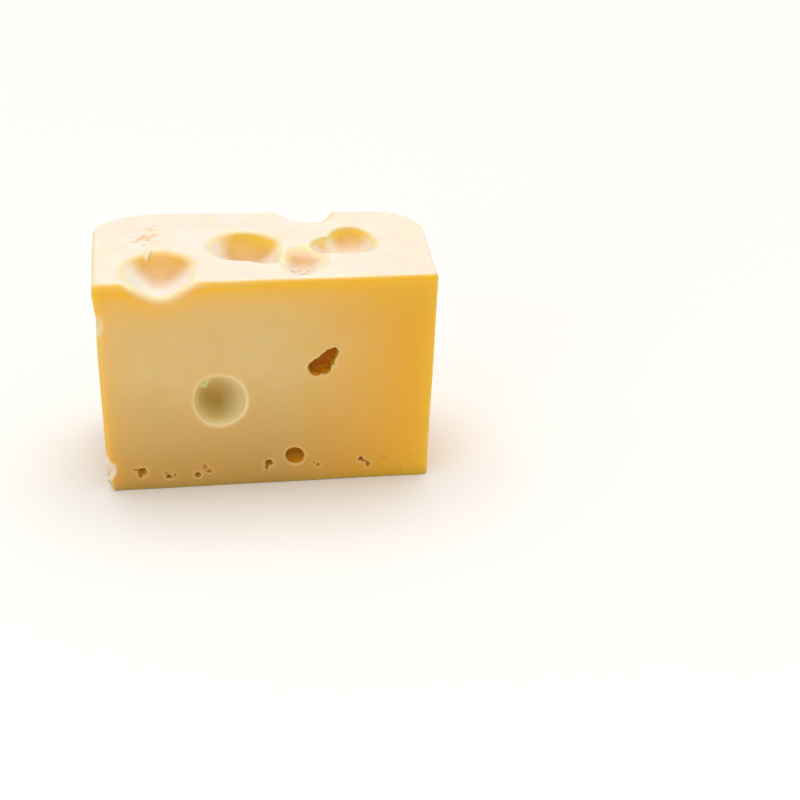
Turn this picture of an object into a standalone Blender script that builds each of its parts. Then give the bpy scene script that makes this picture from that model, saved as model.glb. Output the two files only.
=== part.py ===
"""A block of large-eyed cheese, cut square from the wheel and standing on its flat base.

Metres, +Z up. The origin is the middle of the base. +X runs to the right along the front face and +Y to the
back. The block is one closed solid: a tapered box with softly worn edges, in which round eyes open as bowls
on the top and on the sides, small holes run in a row above the base, and one torn pocket opens on the front.
"""

import math
from typing import NamedTuple

import bmesh
import bpy
from mathutils import Matrix, Vector

MM = 0.001

# The block. The left face ends in a small lip at the top, the right face leans in towards the base, and the
# top and the back slope a little to the right.
WIDTH = 141.2 * MM
DEPTH = 81.0 * MM
HEIGHT_LEFT = 93.2 * MM
HEIGHT_RIGHT = 91.4 * MM
LEFT_LIP = 1.2 * MM
LEFT_LEAN = 0.7 * MM
RIGHT_LEAN = 4.6 * MM
BACK_LEFT_PAST = 1.0 * MM  # how far the sharp back corner stands past the depth that the worn block keeps
BACK_SLOPE = 7.0 * MM
LIP_SHARE = 0.86  # share of the height at which the lip begins

# Edge radii, from the crisp front to the worn corners at the back.
BACK_CORNER_RADIUS = 22.0 * MM
FRONT_CORNER_RADIUS = 2.2 * MM
CORNER_SEGMENTS = 6
TOP_EDGE_RADIUS = 3.0 * MM
TOP_EDGE_SEGMENTS = 4
SQUARE_EDGE_ANGLE = math.radians(60.0)

# The block starts this far below its base and is trimmed flat, which leaves the base's edges barely eased.
BASE_ALLOWANCE = 2.0 * MM

# The worn surface: a voxel skin, smoothed so that the rims of the bowls turn over softly, then thinned.
VOXEL = 1.2 * MM
SMOOTH_STEPS = 7
KEPT_TRIANGLES = 6400

BOWL_SEGMENTS = 48
BOWL_RINGS = 24
HOLE_SEGMENTS = 10
HOLE_RINGS = 7

CHEESE_COLOUR = (0.93, 0.78, 0.47, 1.0)
CHEESE_ROUGHNESS = 0.42


class Eye(NamedTuple):
    """An ellipsoid bubble that a face of the block cuts through."""

    face: str
    along: float  # X on the top, front and back; distance from the front face on the sides
    up: float  # distance from the front face on the top; height above the base elsewhere
    half_width: float
    half_length: float
    depth: float
    proud: float  # how far the bubble's middle stands outside the face; negative leaves an overhanging rim


class Pocket(NamedTuple):
    """A torn slit on the front face: a leaning leaf-shaped mouth that narrows as it runs in."""

    x: float
    z: float
    length: float
    width: float
    lean: float  # radians above the horizontal
    depth: float


BOWLS = {
    "notched_bowl": Eye("top", -42.2 * MM, 15.0 * MM, 15.6 * MM, 23.0 * MM, 10.0 * MM, 6.0 * MM),
    "middle_bowl": Eye("top", -7.4 * MM, 39.5 * MM, 13.8 * MM, 16.5 * MM, 10.0 * MM, 5.0 * MM),
    "middle_bowl_lobe": Eye("top", -0.4 * MM, 30.0 * MM, 10.0 * MM, 11.5 * MM, 6.0 * MM, 6.0 * MM),
    "shallow_bowl": Eye("top", 16.1 * MM, 16.5 * MM, 11.0 * MM, 14.5 * MM, 3.6 * MM, 9.0 * MM),
    "right_bowl": Eye("top", 36.4 * MM, 44.8 * MM, 11.0 * MM, 13.0 * MM, 9.5 * MM, 3.0 * MM),
    "right_bowl_lobe": Eye("top", 31.8 * MM, 38.5 * MM, 10.8 * MM, 12.8 * MM, 7.0 * MM, 5.0 * MM),
    "back_notch": Eye("top", 23.6 * MM, 79.5 * MM, 13.0 * MM, 17.0 * MM, 9.0 * MM, 4.0 * MM),
    "front_eye": Eye("front", -20.4 * MM, 39.3 * MM, 10.3 * MM, 11.0 * MM, 8.6 * MM, 1.0 * MM),
    "left_upper_eye": Eye("left", 3.4 * MM, 75.0 * MM, 5.2 * MM, 4.8 * MM, 3.2 * MM, 2.0 * MM),
    "left_eye": Eye("left", 45.0 * MM, 41.0 * MM, 11.5 * MM, 10.6 * MM, 8.0 * MM, 1.5 * MM),
    "right_eye": Eye("right", 27.0 * MM, 54.0 * MM, 12.0 * MM, 11.0 * MM, 8.8 * MM, 1.2 * MM),
    "right_low_eye": Eye("right", 46.0 * MM, 27.0 * MM, 6.8 * MM, 6.2 * MM, 5.2 * MM, 0.6 * MM),
    "back_eye": Eye("back", -27.0 * MM, 50.0 * MM, 12.6 * MM, 11.4 * MM, 9.2 * MM, 1.4 * MM),
    "back_low_eye": Eye("back", 35.0 * MM, 34.0 * MM, 8.6 * MM, 8.0 * MM, 6.4 * MM, 1.0 * MM),
}

# The holes above the base. Lobes that run together make one torn hole.
HOLES = {
    "front_1": Eye("front", -54.0 * MM, 8.2 * MM, 1.9 * MM, 1.8 * MM, 2.4 * MM, -0.4 * MM),
    "front_1_spur": Eye("front", -55.8 * MM, 9.2 * MM, 1.0 * MM, 0.8 * MM, 1.0 * MM, 0.0),
    "front_1_foot": Eye("front", -54.4 * MM, 6.6 * MM, 1.1 * MM, 1.2 * MM, 1.6 * MM, 0.0),
    "front_2": Eye("front", -42.9 * MM, 5.2 * MM, 1.3 * MM, 1.2 * MM, 1.6 * MM, -0.2 * MM),
    "front_2_top": Eye("front", -43.5 * MM, 6.8 * MM, 1.2 * MM, 1.0 * MM, 1.0 * MM, 0.0),
    "front_2_dot": Eye("front", -40.7 * MM, 5.6 * MM, 0.8 * MM, 0.8 * MM, 0.9 * MM, 0.0),
    "front_3": Eye("front", -30.8 * MM, 5.2 * MM, 1.4 * MM, 1.4 * MM, 2.0 * MM, -0.4 * MM),
    "front_4": Eye("front", -27.6 * MM, 9.0 * MM, 1.2 * MM, 1.5 * MM, 1.2 * MM, 0.2 * MM),
    "front_5": Eye("front", -26.0 * MM, 6.4 * MM, 1.1 * MM, 1.0 * MM, 1.4 * MM, -0.2 * MM),
    "front_6": Eye("front", -1.0 * MM, 9.2 * MM, 1.8 * MM, 1.6 * MM, 2.2 * MM, -0.3 * MM),
    "front_6_foot": Eye("front", -2.1 * MM, 7.2 * MM, 0.9 * MM, 1.2 * MM, 1.3 * MM, 0.0),
    "front_7": Eye("front", 9.8 * MM, 12.6 * MM, 3.8 * MM, 3.3 * MM, 4.2 * MM, -0.6 * MM),
    "front_8": Eye("front", 19.4 * MM, 7.1 * MM, 1.0 * MM, 1.0 * MM, 1.2 * MM, -0.2 * MM),
    "front_9": Eye("front", 37.8 * MM, 8.8 * MM, 1.2 * MM, 1.2 * MM, 1.6 * MM, -0.2 * MM),
    "front_9_neck": Eye("front", 39.2 * MM, 7.6 * MM, 1.1 * MM, 0.8 * MM, 1.0 * MM, 0.0),
    "front_9_foot": Eye("front", 40.7 * MM, 6.3 * MM, 1.2 * MM, 1.3 * MM, 1.5 * MM, -0.2 * MM),
    "left_edge": Eye("left", 1.2 * MM, 10.4 * MM, 3.0 * MM, 3.0 * MM, 3.0 * MM, 0.6 * MM),
    "left_1": Eye("left", 17.0 * MM, 8.4 * MM, 1.9 * MM, 1.7 * MM, 2.0 * MM, -0.3 * MM),
    "left_2": Eye("left", 33.0 * MM, 6.4 * MM, 1.3 * MM, 1.4 * MM, 1.6 * MM, -0.2 * MM),
    "left_3": Eye("left", 52.0 * MM, 9.6 * MM, 2.6 * MM, 2.2 * MM, 2.8 * MM, -0.4 * MM),
    "right_1": Eye("right", 14.0 * MM, 7.6 * MM, 1.6 * MM, 1.5 * MM, 2.0 * MM, -0.3 * MM),
    "right_2": Eye("right", 33.0 * MM, 9.4 * MM, 2.4 * MM, 2.2 * MM, 2.6 * MM, -0.4 * MM),
    "right_3": Eye("right", 47.0 * MM, 5.8 * MM, 1.2 * MM, 1.3 * MM, 1.5 * MM, -0.2 * MM),
    "back_1": Eye("back", -40.0 * MM, 7.4 * MM, 1.7 * MM, 1.6 * MM, 2.0 * MM, -0.3 * MM),
    "back_2": Eye("back", -20.0 * MM, 9.8 * MM, 2.9 * MM, 2.5 * MM, 3.0 * MM, -0.4 * MM),
    "back_3": Eye("back", -2.0 * MM, 6.0 * MM, 1.3 * MM, 1.3 * MM, 1.6 * MM, -0.2 * MM),
    "back_4": Eye("back", 19.0 * MM, 8.2 * MM, 1.9 * MM, 1.7 * MM, 2.2 * MM, -0.3 * MM),
    "back_5": Eye("back", 40.0 * MM, 6.6 * MM, 1.4 * MM, 1.4 * MM, 1.8 * MM, -0.2 * MM),
}

TORN_POCKET = Pocket(22.5 * MM, 54.4 * MM, 17.0 * MM, 7.6 * MM, math.radians(37.0), 9.0 * MM)
MOUTH_POINTS = 14

# Sections of the pocket from outside the face to its end: distance inwards and rise as shares of its depth,
# and size as a share of its mouth. Each line is (inwards, size, rise).
POCKET_SECTIONS = (
    (-1.0, 1.0, 0.0),
    (0.0, 1.0, 0.0),
    (0.45, 0.92, 0.05),
    (0.8, 0.7, 0.12),
    (1.0, 0.4, 0.16),
)


def clear_scene():
    """Takes every object out of the scene, so that the script starts from nothing."""
    for obj in list(bpy.data.objects):
        bpy.data.objects.remove(obj, do_unlink=True)


def new_collection(name):
    """A collection linked to the scene."""
    collection = bpy.data.collections.new(name)
    bpy.context.scene.collection.children.link(collection)
    return collection


def add_object(name, mesh, collection):
    """An object of this mesh in this collection."""
    obj = bpy.data.objects.new(name, mesh)
    collection.objects.link(obj)
    return obj


def add_cutter(name, mesh, collection):
    """A cutter, which shows as wires and stays out of the render."""
    cutter = add_object(name, mesh, collection)
    cutter.hide_render = True
    cutter.display_type = "WIRE"
    return cutter


def share_across(x):
    """How far X lies along the block: 0 at its left end and 1 at its right end."""
    return (x + WIDTH / 2) / WIDTH


def top_height(x):
    """Height of the top face at X."""
    return HEIGHT_LEFT + (HEIGHT_RIGHT - HEIGHT_LEFT) * share_across(x)


def front_y():
    """Y of the front face, which is square to the base."""
    return -DEPTH / 2


def back_y(x):
    """Y of the back face at X."""
    return DEPTH / 2 + BACK_LEFT_PAST - BACK_SLOPE * share_across(x)


def left_x(z):
    """X of the left face at height Z: nearly upright, then out to the lip."""
    share = z / HEIGHT_LEFT
    lip = LEFT_LIP * max(0.0, share - LIP_SHARE) / (1 - LIP_SHARE)
    return -WIDTH / 2 + LEFT_LIP - lip + LEFT_LEAN * (1 - share)


def right_x(z):
    """X of the right face at height Z."""
    return WIDTH / 2 - RIGHT_LEAN * (1 - z / HEIGHT_RIGHT)


def eye_frame(eye):
    """The point where an eye meets its face, and the rotation whose Z axis is the face's outward normal."""
    if eye.face == "top":
        point = Vector((eye.along, front_y() + eye.up, top_height(eye.along)))
        turn = Matrix.Identity(3)
    elif eye.face == "front":
        point = Vector((eye.along, front_y(), eye.up))
        turn = Matrix.Rotation(math.pi / 2, 3, "X")
    elif eye.face == "back":
        point = Vector((eye.along, back_y(eye.along), eye.up))
        turn = Matrix.Rotation(-math.pi / 2, 3, "X")
    elif eye.face == "left":
        point = Vector((left_x(eye.up), front_y() + eye.along, eye.up))
        turn = Matrix.Rotation(-math.pi / 2, 3, "Z") @ Matrix.Rotation(math.pi / 2, 3, "X")
    else:
        point = Vector((right_x(eye.up), front_y() + eye.along, eye.up))
        turn = Matrix.Rotation(math.pi / 2, 3, "Z") @ Matrix.Rotation(math.pi / 2, 3, "X")
    return point, turn


def add_bubble(name, eye, segments, rings, collection):
    """The ellipsoid cutter of an eye, sized so that its face cuts it at the stated half width and length."""
    tall = eye.depth + eye.proud
    spread = 1 / math.sqrt(1 - (eye.proud / tall) ** 2)
    point, turn = eye_frame(eye)
    size = Matrix.Diagonal((eye.half_width * spread, eye.half_length * spread, tall, 1.0))
    place = Matrix.Translation(point + turn @ Vector((0, 0, eye.proud))) @ turn.to_4x4()
    mesh = bpy.data.meshes.new(name)
    bm = bmesh.new()
    bmesh.ops.create_uvsphere(bm, u_segments=segments, v_segments=rings, radius=1.0, matrix=place @ size)
    bm.to_mesh(mesh)
    bm.free()
    add_cutter(name, mesh, collection)


def mouth_outline(pocket, size):
    """Offsets round the pocket's mouth: a leaf that is fuller below and narrows towards its upper tip."""
    offsets = []
    for i in range(MOUTH_POINTS):
        angle = 2 * math.pi * i / MOUTH_POINTS
        reach = math.cos(angle) * abs(math.cos(angle)) ** 0.35
        fullness = 0.62 if math.sin(angle) < 0 else 0.38
        along = 0.5 * pocket.length * reach * size
        across = pocket.width * fullness * math.sin(angle) * (1 - 0.3 * reach) * size
        x = along * math.cos(pocket.lean) - across * math.sin(pocket.lean)
        z = along * math.sin(pocket.lean) + across * math.cos(pocket.lean)
        offsets.append((x, z))
    return offsets


def add_pocket_cutter(name, pocket, collection):
    """The pocket's cutter: its mouth carried inwards, smaller and a little higher at each step."""
    bm = bmesh.new()
    rings = []
    for inward, size, rise in POCKET_SECTIONS:
        y = front_y() + inward * pocket.depth
        z = pocket.z + rise * pocket.depth
        rings.append([bm.verts.new((pocket.x + dx, y, z + dz)) for dx, dz in mouth_outline(pocket, size)])
    for outer, inner in zip(rings, rings[1:]):
        for i, corner in enumerate(outer):
            after = (i + 1) % MOUTH_POINTS
            bm.faces.new((corner, outer[after], inner[after], inner[i]))
    bm.faces.new(rings[0])
    bm.faces.new(rings[-1])
    bmesh.ops.recalc_face_normals(bm, faces=bm.faces)
    mesh = bpy.data.meshes.new(name)
    bm.to_mesh(mesh)
    bm.free()
    add_cutter(name, mesh, collection)


def add_base_cutter(collection):
    """A slab that trims the base flat at Z = 0."""
    mesh = bpy.data.meshes.new("base_trim")
    bm = bmesh.new()
    size = Matrix.Diagonal((2 * WIDTH, 2 * DEPTH, HEIGHT_LEFT, 1.0))
    bmesh.ops.create_cube(bm, size=1.0, matrix=Matrix.Translation((0, 0, -HEIGHT_LEFT / 2)) @ size)
    bm.to_mesh(mesh)
    bm.free()
    return add_cutter("base_trim", mesh, collection)


def block_point(unit):
    """Where a point of the unit cube's surface lies on the block."""
    side = math.copysign(WIDTH / 2, unit.x)
    z = (top_height(side) + BASE_ALLOWANCE) * (unit.z + 0.5) - BASE_ALLOWANCE
    x = right_x(z) if unit.x > 0 else left_x(z)
    y = back_y(side) if unit.y > 0 else front_y()
    return Vector((x, y, z))


def block_mesh():
    """The tapered box with sharp edges, whose upright corners carry their radius as a bevel weight."""
    mesh = bpy.data.meshes.new("cheese_block")
    bm = bmesh.new()
    bmesh.ops.create_cube(bm, size=1.0)
    everything = bm.verts[:] + bm.edges[:] + bm.faces[:]
    lip_start = Vector((0, 0, LIP_SHARE - 0.5))
    bmesh.ops.bisect_plane(bm, geom=everything, plane_co=lip_start, plane_no=(0, 0, 1))
    weight = bm.edges.layers.float.new("bevel_weight_edge")
    for edge in bm.edges:
        start, end = edge.verts[0].co, edge.verts[1].co
        if start.xy == end.xy:
            radius = BACK_CORNER_RADIUS if start.y > 0 else FRONT_CORNER_RADIUS
            edge[weight] = radius / BACK_CORNER_RADIUS
    for vert in bm.verts:
        vert.co = block_point(vert.co)
    bm.to_mesh(mesh)
    bm.free()
    return mesh


def cheese_material():
    """Pale yellow cheese with a faint moist sheen."""
    material = bpy.data.materials.new("cheese")
    material.use_nodes = True
    shader = material.node_tree.nodes["Principled BSDF"]
    shader.inputs["Base Color"].default_value = CHEESE_COLOUR
    shader.inputs["Roughness"].default_value = CHEESE_ROUGHNESS
    shader.inputs["Metallic"].default_value = 0.0
    return material


def round_edges(block):
    """Rounds the upright corners by their weights, then the square edges that run round the top and base."""
    corners = block.modifiers.new("round_corners", "BEVEL")
    corners.limit_method = "WEIGHT"
    corners.width = BACK_CORNER_RADIUS
    corners.segments = CORNER_SEGMENTS
    top = block.modifiers.new("round_top", "BEVEL")
    top.limit_method = "ANGLE"
    top.angle_limit = SQUARE_EDGE_ANGLE
    top.width = TOP_EDGE_RADIUS
    top.segments = TOP_EDGE_SEGMENTS


def cut_with_each_in(block, name, cutters):
    """A Boolean difference with every object of a collection."""
    modifier = block.modifiers.new(name, "BOOLEAN")
    modifier.operation = "DIFFERENCE"
    modifier.solver = "EXACT"
    modifier.operand_type = "COLLECTION"
    modifier.collection = cutters


def cut_with(block, name, cutter):
    """A Boolean difference with one object."""
    modifier = block.modifiers.new(name, "BOOLEAN")
    modifier.operation = "DIFFERENCE"
    modifier.solver = "EXACT"
    modifier.object = cutter


def triangle_count(obj):
    """Triangles of an object as its modifiers now leave it."""
    bpy.context.view_layer.update()
    mesh = obj.evaluated_get(bpy.context.evaluated_depsgraph_get()).to_mesh()
    mesh.calc_loop_triangles()
    return len(mesh.loop_triangles)


def wear_surface(block):
    """Turns sharp rims and edges over softly, then thins the skin to the triangles that are kept."""
    remesh = block.modifiers.new("skin", "REMESH")
    remesh.mode = "VOXEL"
    remesh.voxel_size = VOXEL
    remesh.use_smooth_shade = True
    smooth = block.modifiers.new("wear", "SMOOTH")
    smooth.factor = 0.5
    smooth.iterations = SMOOTH_STEPS
    full = triangle_count(block)
    thin = block.modifiers.new("thin", "DECIMATE")
    thin.ratio = KEPT_TRIANGLES / full


def build():
    """Builds the block and its cutters."""
    clear_scene()
    cheese = new_collection("cheese_block")
    bowls = new_collection("bowl_cutters")
    holes = new_collection("hole_cutters")
    trims = new_collection("trim_cutters")
    for name, eye in BOWLS.items():
        add_bubble(name, eye, BOWL_SEGMENTS, BOWL_RINGS, bowls)
    for name, eye in HOLES.items():
        add_bubble(name, eye, HOLE_SEGMENTS, HOLE_RINGS, holes)
    add_pocket_cutter("torn_pocket", TORN_POCKET, holes)
    block = add_object("cheese_block", block_mesh(), cheese)
    block.data.materials.append(cheese_material())
    round_edges(block)
    cut_with_each_in(block, "open_bowls", bowls)
    wear_surface(block)
    cut_with_each_in(block, "open_holes", holes)
    cut_with(block, "trim_base", add_base_cutter(trims))


build()
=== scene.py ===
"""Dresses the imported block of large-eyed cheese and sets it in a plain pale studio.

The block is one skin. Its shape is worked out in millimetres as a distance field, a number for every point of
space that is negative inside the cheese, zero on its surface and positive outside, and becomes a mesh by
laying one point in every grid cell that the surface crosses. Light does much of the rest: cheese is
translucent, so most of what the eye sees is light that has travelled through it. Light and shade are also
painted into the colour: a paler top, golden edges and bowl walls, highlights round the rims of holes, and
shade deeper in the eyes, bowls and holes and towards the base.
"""

import logging
import math
from dataclasses import dataclass
from enum import Enum

import bmesh
import bpy
import numpy as np
import numpy.typing as npt
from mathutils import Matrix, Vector


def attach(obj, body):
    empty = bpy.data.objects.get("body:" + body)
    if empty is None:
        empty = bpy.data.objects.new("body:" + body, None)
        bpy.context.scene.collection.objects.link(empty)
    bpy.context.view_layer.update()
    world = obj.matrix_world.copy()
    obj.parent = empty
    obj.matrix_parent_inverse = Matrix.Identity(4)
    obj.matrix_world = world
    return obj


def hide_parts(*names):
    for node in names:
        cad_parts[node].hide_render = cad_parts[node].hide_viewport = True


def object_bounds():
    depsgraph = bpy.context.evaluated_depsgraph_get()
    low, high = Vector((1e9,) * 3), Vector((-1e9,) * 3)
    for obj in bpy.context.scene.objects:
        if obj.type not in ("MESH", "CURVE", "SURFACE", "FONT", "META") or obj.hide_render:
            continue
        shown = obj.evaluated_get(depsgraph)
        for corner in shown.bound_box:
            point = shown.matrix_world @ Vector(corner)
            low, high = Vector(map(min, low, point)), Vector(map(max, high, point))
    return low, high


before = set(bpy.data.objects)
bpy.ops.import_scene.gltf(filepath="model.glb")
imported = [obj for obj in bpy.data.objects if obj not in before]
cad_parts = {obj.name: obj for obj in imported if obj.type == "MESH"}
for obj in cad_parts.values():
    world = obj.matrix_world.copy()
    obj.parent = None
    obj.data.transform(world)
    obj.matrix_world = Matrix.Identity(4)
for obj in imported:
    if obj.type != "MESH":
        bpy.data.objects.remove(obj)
cad_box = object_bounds()

log = logging.getLogger("cheese")

Numbers = npt.NDArray[np.float64]
Indices = npt.NDArray[np.int64]
Flags = npt.NDArray[np.bool_]
Samples = tuple[Numbers, Numbers, Numbers]  # X, Y and Z in millimetres, as the axes of a grid or loose
Socket = bpy.types.NodeSocket

MM = 0.001
BODY = "root"
NODE = "cheese_block"
SPARE = 2  # millimetres round a mark on the front face that its field may change


class Face(Enum):
    """The face of the block that a hollow opens on."""

    TOP = "top"
    FRONT = "front"
    BACK = "back"
    LEFT = "left"
    RIGHT = "right"


def linear_colour(code: str) -> tuple[float, float, float, float]:
    """Turns an sRGB hex colour into linear light.

    Args:
        code: Six hex digits after a hash, such as "#f6dfae".

    Returns:
        Linear red, green and blue, and an alpha of one.
    """
    shares = [int(code[i:i + 2], 16) / 255 for i in (1, 3, 5)]
    light = [c / 12.92 if c <= 0.04045 else ((c + 0.055) / 1.055) ** 2.4 for c in shares]
    return light[0], light[1], light[2], 1.0


def put_in_scene(name: str, data: bpy.types.ID) -> bpy.types.Object:
    """Makes an object that shows a mesh, a light or a camera.

    Args:
        name: The object's name.
        data: What it shows.

    Returns:
        The object, linked to the scene.
    """
    made = bpy.data.objects.new(name, data)
    bpy.context.scene.collection.objects.link(made)
    return made


def clamped(values: Numbers) -> Numbers:
    """The values, held between 0 and 1."""
    return np.clip(values, 0.0, 1.0)


def round_join(a: Numbers, b: Numbers, radius: float | Numbers) -> Numbers:
    """Keeps what lies inside both fields, and turns the edge between them over with a round of this radius.

    Within the radius of both surfaces, the distance is measured from the centre line of the round.

    Args:
        a: The first field.
        b: The second field.
        radius: Radius of the edge, one number or one for each sample.

    Returns:
        The joined field.
    """
    past_a = np.maximum(radius + a, 0.0)
    past_b = np.maximum(radius + b, 0.0)
    return np.minimum(-radius, np.maximum(a, b)) + np.hypot(past_a, past_b)


@dataclass(frozen=True)
class Swell:
    """Smooth unevenness: plane waves in seeded random directions, added up and scaled to run from -1 to 1."""

    wavelength: float
    seed: int
    waves: int = 9

    def height(self, at: Samples) -> Numbers:
        """The unevenness at each sample: the sum of the waves' sines over the root of their number.

        Args:
            at: The samples.

        Returns:
            The unevenness.
        """
        draw = np.random.default_rng(self.seed)
        heading = draw.normal(size=(self.waves, 3))
        heading /= np.linalg.norm(heading, axis=1, keepdims=True)
        pace = 2 * math.pi / (self.wavelength * draw.uniform(0.75, 1.35, self.waves))
        phase = draw.uniform(0, 2 * math.pi, self.waves)
        x, y, z = at
        total = 0.0
        for (hx, hy, hz), k, start in zip(heading, pace, phase):
            total = total + np.sin(k * (hx * x + hy * y + hz * z) + start)
        return total / math.sqrt(self.waves)


BOWL_DRIFT = (Swell(24.0, 11), Swell(24.0, 12), Swell(24.0, 13))
TEAR_DRIFT = (Swell(2.6, 21), Swell(2.6, 22), Swell(2.6, 23))


@dataclass(frozen=True)
class Block:
    """The uncut form, in millimetres: a tapered slab with a small lip up its left side and round corners."""

    width: float = 141.2
    depth: float = 81.0
    height_left: float = 93.2
    height_right: float = 91.4
    left_lip: float = 1.2
    left_lean: float = 0.7
    right_lean: float = 4.6
    back_left_past: float = 1.0
    back_slope: float = 7.0
    lip_share: float = 0.86
    back_corner: float = 22.0
    long_corner: tuple[float, float] = (36.0, 21.0)  # the back left corner, across and along
    front_corner: float = 2.4
    top_edge: float = 3.2
    top_edge_left: float = 6.4  # the edge is more melted towards its left end
    back_edge: float = 1.2
    base_edge: float = 0.5
    inset: float = 0.15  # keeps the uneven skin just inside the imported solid
    unevenness: float = 0.12

    @property
    def front(self) -> float:
        """Y of the front face."""
        return -self.depth / 2

    def share_across(self, x: Numbers) -> Numbers:
        """How far X lies along the block: 0 at its left end and 1 at its right end."""
        return (x + self.width / 2) / self.width

    def top(self, x: Numbers) -> Numbers:
        """Height of the top face at X."""
        return self.height_left + (self.height_right - self.height_left) * self.share_across(x)

    def back(self, x: Numbers) -> Numbers:
        """Y of the back face at X."""
        return self.depth / 2 + self.back_left_past - self.back_slope * self.share_across(x)

    def left(self, z: Numbers) -> Numbers:
        """X of the left face at height Z: nearly upright, then out to the lip."""
        share = z / self.height_left
        lip = self.left_lip * np.maximum(0.0, share - self.lip_share) / (1 - self.lip_share)
        return -self.width / 2 + self.left_lip - lip + self.left_lean * (1 - share)

    def right(self, z: Numbers) -> Numbers:
        """X of the right face at height Z."""
        return self.width / 2 - self.right_lean * (1 - z / self.height_right)

    def distance(self, at: Samples) -> Numbers:
        """Field of the block before any hollow is cut.

        The nearer of each pair of faces bounds the block across and along. The two are joined with the
        corner's radius, then with the top and the base, and the result is carved by a slow swell.

        Args:
            at: The samples.

        Returns:
            The field.
        """
        x, y, z = at
        across = np.maximum(self.left(z) - x, x - self.right(z)) + self.inset
        along = np.maximum(self.front - y, y - self.back(x)) + self.inset
        corner = np.where(y > 0, self.back_corner, self.front_corner)
        walls = round_join(across, along, corner)
        in_corner = (x < 0) & (y > 0) & (-across < self.long_corner[0]) & (-along < self.long_corner[1])
        walls = np.where(in_corner, self.corner_distance(across, along), walls)
        to_back = clamped(y / self.depth + 0.5)
        to_left = np.clip(0.6 - 1.1 * self.share_across(x), 0.0, 0.6) / 0.6
        front_edge = self.top_edge + (self.top_edge_left - self.top_edge) * to_left
        edge = front_edge + (self.back_edge - front_edge) * np.sqrt(to_back)
        worn = round_join(walls, z - self.top(x) + self.inset, edge)
        swell = self.unevenness * (1 + np.clip(Swell(42.0, 5).height(at), -1, 1))
        return round_join(worn + swell, -z, self.base_edge)

    def corner_distance(self, across: Numbers, along: Numbers) -> Numbers:
        """Field of the long corner: a quarter of an ellipse between the two walls.

        It is k0 (k0 - 1) / k1, where k0 is the radius scaled to the ellipse and k1 its gradient's length.

        Args:
            across: Distance past the left wall, negative inside.
            along: Distance past the back wall, negative inside.

        Returns:
            The field.
        """
        wide, long = self.long_corner
        u, v = 1 + across / wide, 1 + along / long
        k0, k1 = np.hypot(u, v), np.hypot(u / wide, v / long)
        return k0 * (k0 - 1) / np.maximum(k1, 1e-6)

    def place_on(self, face: Face, along: float, up: float) -> tuple[Numbers, Numbers]:
        """The point of a face that a hollow is centred on, and the face's own axes.

        Args:
            face: The face.
            along: X on the top, front and back, and distance from the front face on the sides.
            up: Distance from the front face on the top, and height above the base elsewhere.

        Returns:
            The point, and a matrix whose rows run to the right, upwards and outwards as seen from outside.
        """
        side = 1.0 if face in (Face.FRONT, Face.RIGHT) else -1.0
        if face is Face.TOP:
            return np.array([along, self.front + up, self.top(along)]), np.eye(3)
        if face in (Face.FRONT, Face.BACK):
            y = self.front if face is Face.FRONT else self.back(along)
            return np.array([along, y, up]), np.array([[side, 0, 0], [0, 0, 1], [0, -side, 0]])
        x = self.left(up) if face is Face.LEFT else self.right(up)
        return np.array([x, self.front + along, up]), np.array([[0, side, 0], [0, 0, 1], [side, 0, 0]])


BLOCK = Block()


@dataclass(frozen=True)
class Patch:
    """An oval of a face that something is carved into. Sizes are in millimetres."""

    face: Face
    along: float
    up: float
    half_width: float
    half_length: float
    depth: float

    def local(self, at: Samples) -> Samples:
        """How far to the right, up and out of the oval's middle each sample lies, seen from outside."""
        point, axes = BLOCK.place_on(self.face, self.along, self.up)
        moved = [s - p for s, p in zip(at, point)]
        return tuple(sum(a * m for a, m in zip(axis, moved)) for axis in axes)


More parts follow.
